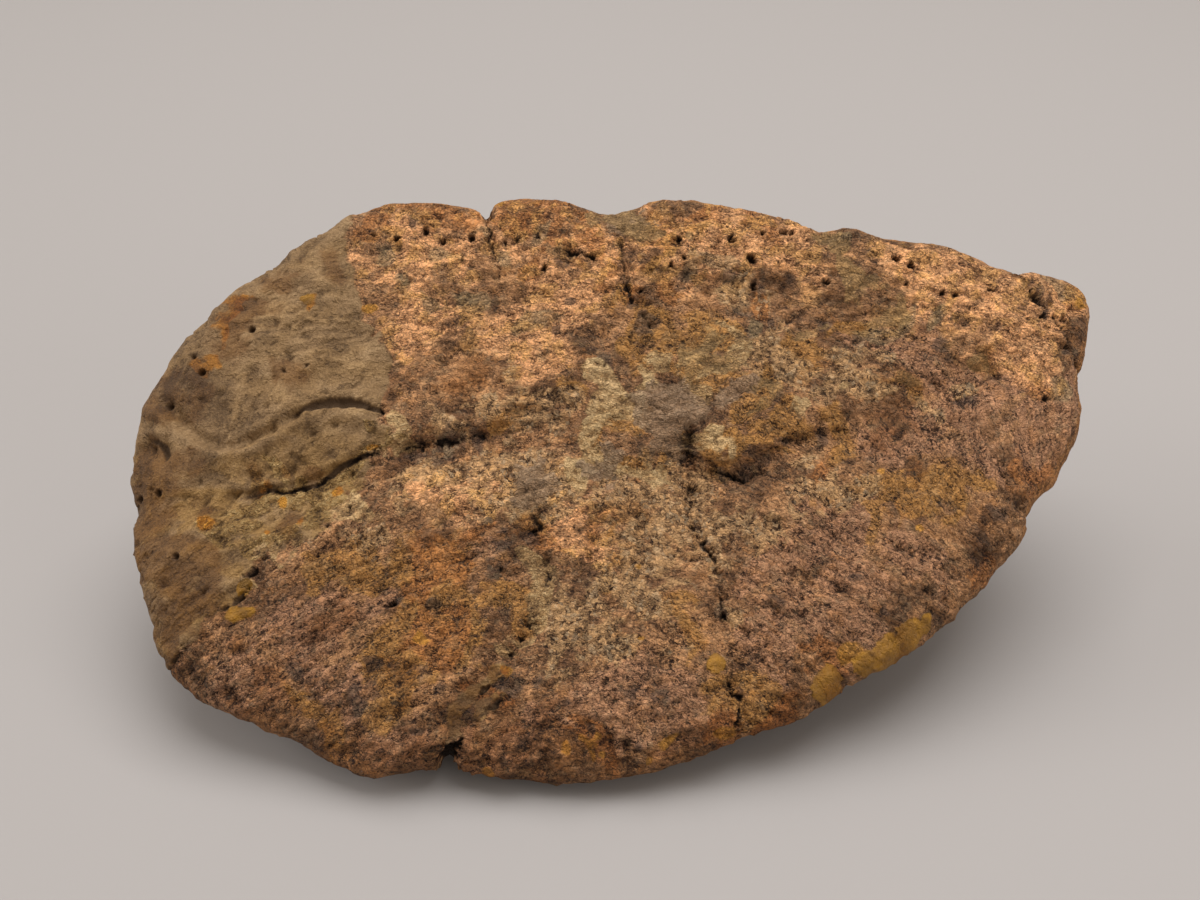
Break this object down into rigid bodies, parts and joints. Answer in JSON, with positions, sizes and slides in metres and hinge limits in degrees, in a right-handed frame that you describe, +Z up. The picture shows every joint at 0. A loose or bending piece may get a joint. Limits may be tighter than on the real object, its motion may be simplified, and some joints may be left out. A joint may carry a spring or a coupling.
{
  "type": "fossil ankylosaur scute",
  "caption": "Oval keeled armour plate of fossil bone, lying on the flank of its keel with its hollow fibrous base turned up and forward; one solid, loose specimen.",
  "frame": {"origin": "centre of the bounding box in plan, at the level of the surface it lies on", "axes": "+Z up; +X along the plate towards its tapering tip; +Y away from the side that the hollow base faces, so the base looks to -Y and up"},
  "size_m": [0.2402, 0.1246, 0.0912],
  "materials": {
    "fossil_bone": "matte"
  },
  "bodies": {
    "root": {"scute": "fossil_bone"}
  },
  "joints": []
}
